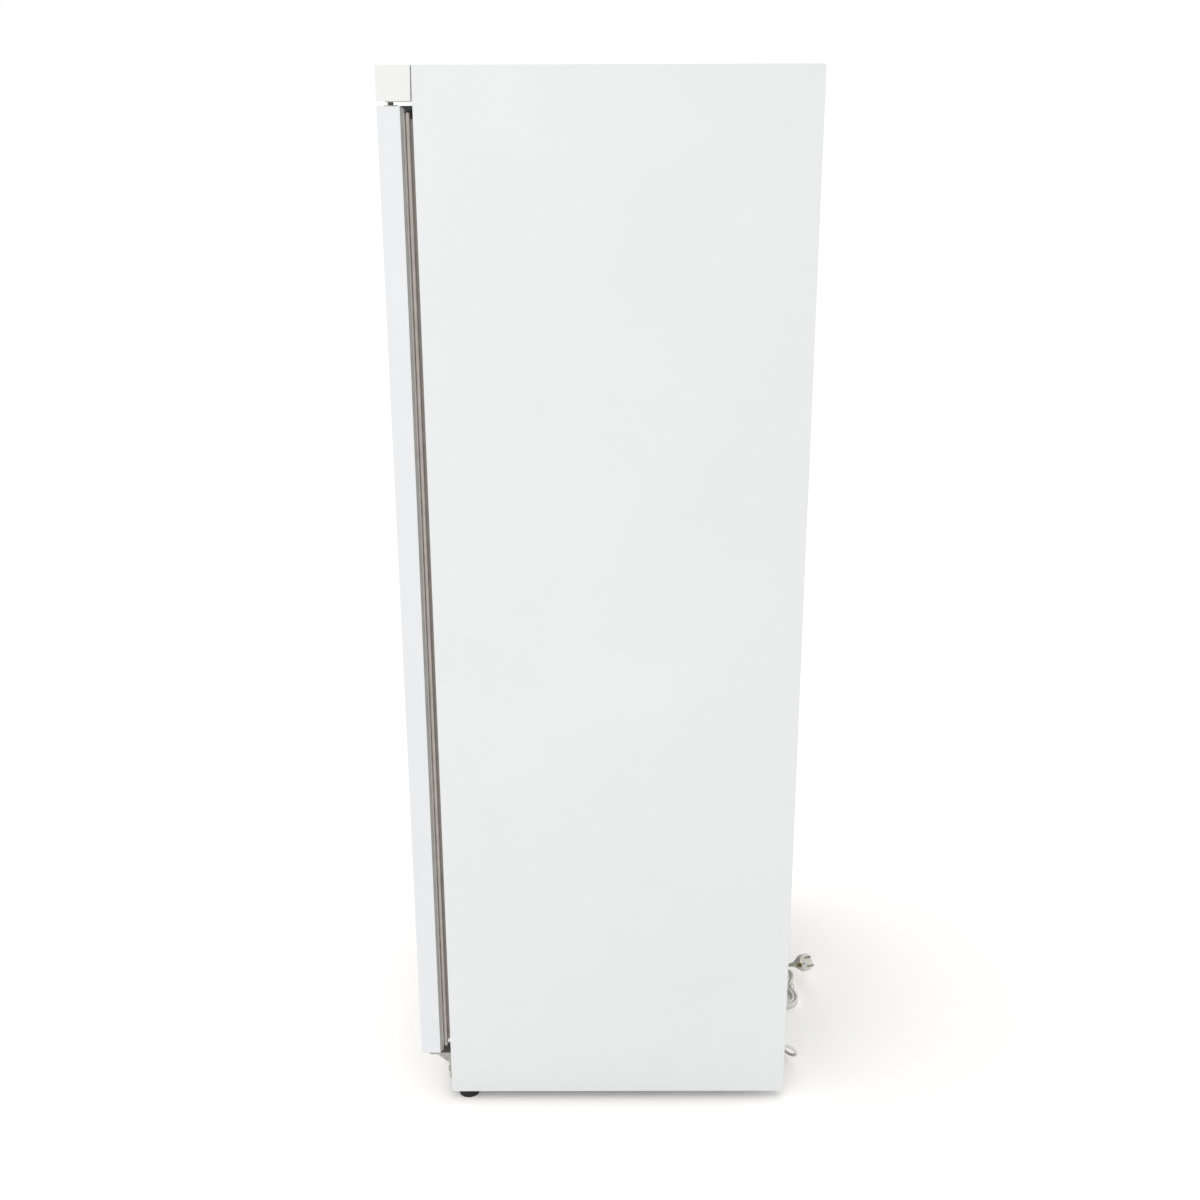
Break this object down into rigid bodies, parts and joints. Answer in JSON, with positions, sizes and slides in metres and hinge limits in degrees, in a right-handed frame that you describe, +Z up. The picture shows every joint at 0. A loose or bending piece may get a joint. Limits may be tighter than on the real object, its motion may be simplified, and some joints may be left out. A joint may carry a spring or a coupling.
{
  "type": "upright refrigerator",
  "caption": "Upright refrigerator with a solid hinged door, wire shelves, a canopy with controls, levelling feet, rear rollers and a hanked mains cord.",
  "frame": {"origin": "on the floor, under the middle of the cabinet with its door, without the cord", "axes": "+Z up, -Y out of the door's front, +X to the hinge side"},
  "size_m": [0.777, 0.8116, 1.895],
  "materials": {
    "white_steel": "satin powder coat",
    "white_liner": "semi-gloss moulded sheet",
    "canopy_plastic": "satin moulded plastic",
    "galvanised_steel": "galvanised sheet",
    "zinc": "zinc plated",
    "foam": "rigid foam, not seen",
    "seal": "soft grey seal",
    "grip_plastic": "fine grained plastic",
    "coated_wire": "white plastic coating",
    "white_plastic": "satin moulded plastic",
    "diffuser": "clear ribbed plastic",
    "dark_plastic": "black moulded plastic",
    "button_plastic": "grey keys",
    "black_foot": "black moulded plastic",
    "roller_plastic": "black nylon",
    "black_paint": "black enamel",
    "motor_metal": "dark grey",
    "black_rubber": "black rubber",
    "copper": "copper tube",
    "coil_aluminium": "bare fins",
    "cord_white": "white flexible sheath",
    "plug_white": "white moulded body with nickel pins"
  },
  "bodies": {
    "cabinet": {"side_panel_left": "white_steel", "side_panel_right": "white_steel", "top_panel": "white_steel", "rear_panel": "galvanised_steel", "front_top_rail": "white_steel", "front_plinth": "white_steel", "base_frame": "galvanised_steel", "compressor_tray": "galvanised_steel", "cabinet_insulation": "foam", "inner_liner": "white_liner", "shelf_ladders": "white_plastic", "shelf_1": "coated_wire", "shelf_2": "coated_wire", "shelf_3": "coated_wire", "shelf_4": "coated_wire", "shelf_clips": "white_plastic", "evaporator_cover": "white_plastic", "evaporator_coil": "coil_aluminium", "fan_motor": "motor_metal", "drain_gutter_and_tube": "white_plastic", "light_housing": "white_plastic", "light_diffuser": "diffuser", "canopy": "canopy_plastic", "controller": "dark_plastic", "top_hinge": "zinc", "bottom_hinge": "zinc", "hinge_screws": "zinc", "condenser": "black_paint", "condenser_brackets": "black_paint", "compressor": "black_paint", "compressor_grommets": "black_rubber", "terminal_box": "dark_plastic", "inner_lead": "cord_white", "filter_drier": "copper", "refrigerant_pipes": "copper", "evaporation_pan": "white_plastic", "rear_roller_forks": "galvanised_steel", "cord_gland": "cord_white", "cord_lead": "cord_white", "cord_hank": "cord_white", "cord_tail": "cord_white", "cord_tie": "plug_white", "plug": "plug_white"},
    "door": {"door_skin": "white_steel", "door_insulation": "foam", "door_liner": "white_liner", "door_seal": "seal", "door_grip": "grip_plastic", "lock_housing": "grip_plastic", "hinge_bushes": "white_plastic"},
    "lock": {"lock_barrel": "zinc"},
    "set_key": {"button_set": "button_plastic"},
    "down_key": {"button_down": "button_plastic"},
    "up_key": {"button_up": "button_plastic"},
    "fan": {"fan_blades": "dark_plastic"},
    "door_switch": {"door_switch_plunger": "white_plastic"},
    "left_foot": {"front_foot_left": "black_foot"},
    "right_foot": {"front_foot_right": "black_foot"},
    "left_roller": {"rear_roller_left": "roller_plastic"},
    "right_roller": {"rear_roller_right": "roller_plastic"}
  },
  "joints": [
    {"name": "door_hinge", "type": "hinge", "parent": "cabinet", "child": "door", "pos_m": [0.3665, -0.33, 0.97], "axis": [0, 0, 1], "range_deg": [0, 115]},
    {"name": "lock_turn", "type": "hinge", "parent": "door", "child": "lock", "pos_m": [-0.345, -0.33, 1.8123], "axis": [0, -1, 0], "range_deg": [0, 90]},
    {"name": "set_key_press", "type": "slide", "parent": "cabinet", "child": "set_key", "axis": [0, 1, 0], "range_m": [0, 0.0008], "stiffness_N_per_m": 400},
    {"name": "down_key_press", "type": "slide", "parent": "cabinet", "child": "down_key", "axis": [0, 1, 0], "range_m": [0, 0.0008], "stiffness_N_per_m": 400},
    {"name": "up_key_press", "type": "slide", "parent": "cabinet", "child": "up_key", "axis": [0, 1, 0], "range_m": [0, 0.0008], "stiffness_N_per_m": 400},
    {"name": "fan_spin", "type": "hinge", "parent": "cabinet", "child": "fan", "pos_m": [0, 0.167, 1.68], "axis": [0, 1, 0], "continuous": true},
    {"name": "door_switch_slide", "type": "slide", "parent": "cabinet", "child": "door_switch", "axis": [0, -1, 0], "range_m": [0, 0.005]},
    {"name": "left_foot_screw", "type": "slide", "parent": "cabinet", "child": "left_foot", "axis": [0, 0, -1], "range_m": [0, 0.015]},
    {"name": "right_foot_screw", "type": "slide", "parent": "cabinet", "child": "right_foot", "axis": [0, 0, -1], "range_m": [0, 0.015]},
    {"name": "left_roller_spin", "type": "hinge", "parent": "cabinet", "child": "left_roller", "pos_m": [-0.3305, 0.2995, 0.018], "axis": [1, 0, 0], "continuous": true},
    {"name": "right_roller_spin", "type": "hinge", "parent": "cabinet", "child": "right_roller", "pos_m": [0.3305, 0.2995, 0.018], "axis": [1, 0, 0], "continuous": true}
  ],
  "couplings": [
    {"joint": "door_switch_slide", "follows": "door_hinge", "m_per_rad": 0.00249}
  ]
}
